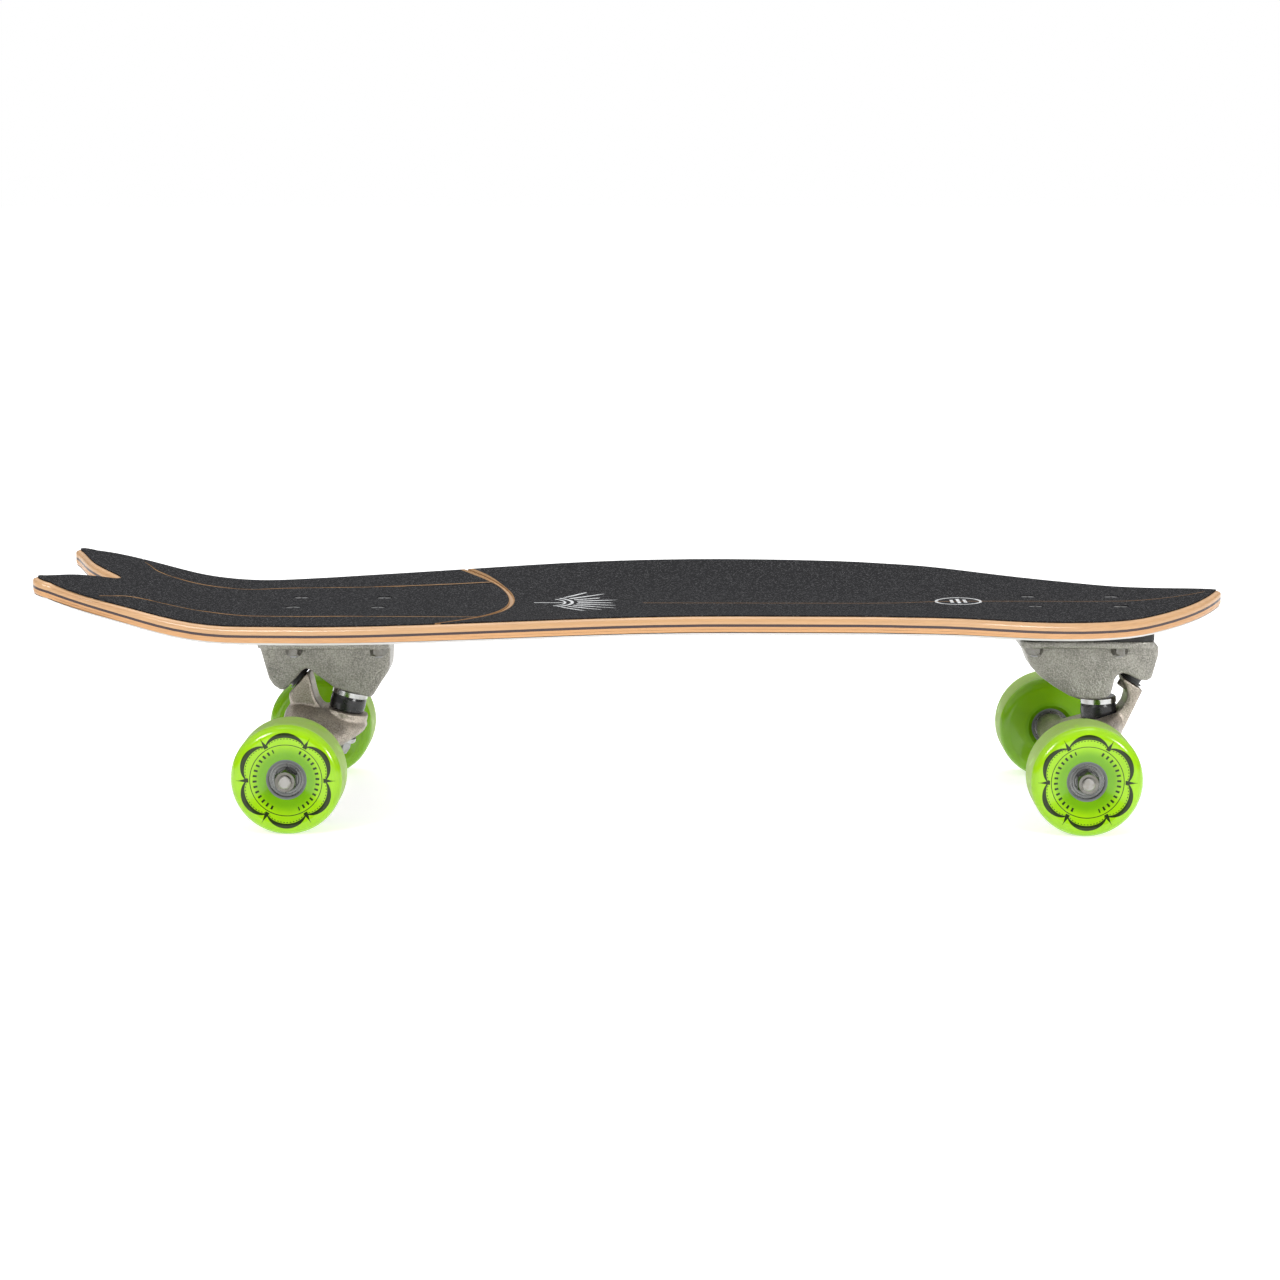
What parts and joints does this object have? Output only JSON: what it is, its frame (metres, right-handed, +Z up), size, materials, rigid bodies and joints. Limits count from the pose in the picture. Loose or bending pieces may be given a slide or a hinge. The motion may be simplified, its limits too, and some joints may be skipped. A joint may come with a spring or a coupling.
{
  "type": "skateboard",
  "caption": "Swallow-tail carving skateboard with a concave laminated deck, rubber-sprung cast trucks and soft green wheels on ball bearings.",
  "frame": {"origin": "on the ground under the middle of the board's length and width", "axes": "+X along the board toward the round nose, +Y to the rider's left when facing the nose, +Z up"},
  "size_m": [0.747, 0.255, 0.1557],
  "materials": {
    "maple": "clear satin lacquer over rotary-cut maple",
    "dyed_maple": "dark dyed maple under clear lacquer",
    "painted_maple": "maple with a pale painted underside",
    "grip_sheet": "charcoal abrasive grit",
    "black_rubber": "moulded matte",
    "black_plastic": "moulded",
    "cast_aluminium": "raw tumbled casting",
    "zinc_steel": "zinc plated",
    "bright_zinc": "bright plated",
    "bushing_urethane": "smooth black urethane",
    "axle_steel": "turned steel",
    "bearing_steel": "ground steel",
    "green_urethane": "glossy faces, stone-ground tread",
    "grey_core": "moulded grey"
  },
  "bodies": {
    "deck": {"deck_ply_1": "maple", "deck_ply_2": "maple", "deck_ply_3": "maple", "deck_ply_4": "dyed_maple", "deck_ply_5": "maple", "deck_ply_6": "maple", "deck_ply_7": "painted_maple", "grip_main": "grip_sheet", "grip_tail_centre": "grip_sheet", "grip_tail_left": "grip_sheet", "grip_tail_right": "grip_sheet", "front_riser_pad": "black_rubber", "front_baseplate": "cast_aluminium", "front_pivot_cup": "black_plastic", "front_kingpin": "zinc_steel", "front_kingpin_nut": "zinc_steel", "front_bushing_washers": "bright_zinc", "front_bushing_upper": "bushing_urethane", "front_bushing_lower": "bushing_urethane", "front_mounting_bolts": "zinc_steel", "front_mounting_nuts": "zinc_steel", "rear_riser_pad": "black_rubber", "rear_baseplate": "cast_aluminium", "rear_pivot_cup": "black_plastic", "rear_kingpin": "zinc_steel", "rear_kingpin_nut": "zinc_steel", "rear_bushing_washers": "bright_zinc", "rear_bushing_upper": "bushing_urethane", "rear_bushing_lower": "bushing_urethane", "rear_mounting_bolts": "zinc_steel", "rear_mounting_nuts": "zinc_steel"},
    "front_truck": {"front_hanger": "cast_aluminium", "front_axle": "axle_steel", "front_axle_nuts": "bright_zinc", "front_axle_washers": "bright_zinc", "front_inner_races": "bearing_steel", "front_bearing_spacers": "bearing_steel"},
    "rear_truck": {"rear_hanger": "cast_aluminium", "rear_axle": "axle_steel", "rear_axle_nuts": "bright_zinc", "rear_axle_washers": "bright_zinc", "rear_inner_races": "bearing_steel", "rear_bearing_spacers": "bearing_steel"},
    "front_left_wheel": {"front_left_tyre": "green_urethane", "front_left_core": "grey_core", "front_left_bearing_shells": "bearing_steel", "front_left_bearing_balls": "bearing_steel"},
    "front_right_wheel": {"front_right_tyre": "green_urethane", "front_right_core": "grey_core", "front_right_bearing_shells": "bearing_steel", "front_right_bearing_balls": "bearing_steel"},
    "rear_left_wheel": {"rear_left_tyre": "green_urethane", "rear_left_core": "grey_core", "rear_left_bearing_shells": "bearing_steel", "rear_left_bearing_balls": "bearing_steel"},
    "rear_right_wheel": {"rear_right_tyre": "green_urethane", "rear_right_core": "grey_core", "rear_right_bearing_shells": "bearing_steel", "rear_right_bearing_balls": "bearing_steel"}
  },
  "joints": [
    {"name": "front_truck_tilt", "type": "hinge", "parent": "deck", "child": "front_truck", "pos_m": [0.29788, 0, 0.05108], "axis": [0.5299, 0, 0.848], "range_deg": [-15, 15], "stiffness_Nm_per_rad": 60, "deforming": ["front_bushing_upper", "front_bushing_lower"]},
    {"name": "rear_truck_tilt", "type": "hinge", "parent": "deck", "child": "rear_truck", "pos_m": [-0.1891, 0, 0.05515], "axis": [-0.7431, 0, 0.6691], "range_deg": [-15, 15], "stiffness_Nm_per_rad": 60, "deforming": ["rear_bushing_upper", "rear_bushing_lower"]},
    {"name": "front_left_wheel_spin", "type": "hinge", "parent": "front_truck", "child": "front_left_wheel", "pos_m": [0.2767, 0, 0.0345], "axis": [0, 1, 0], "continuous": true},
    {"name": "front_right_wheel_spin", "type": "hinge", "parent": "front_truck", "child": "front_right_wheel", "pos_m": [0.2767, 0, 0.0345], "axis": [0, 1, 0], "continuous": true},
    {"name": "rear_left_wheel_spin", "type": "hinge", "parent": "rear_truck", "child": "rear_left_wheel", "pos_m": [-0.2137, 0, 0.0345], "axis": [0, 1, 0], "continuous": true},
    {"name": "rear_right_wheel_spin", "type": "hinge", "parent": "rear_truck", "child": "rear_right_wheel", "pos_m": [-0.2137, 0, 0.0345], "axis": [0, 1, 0], "continuous": true}
  ]
}
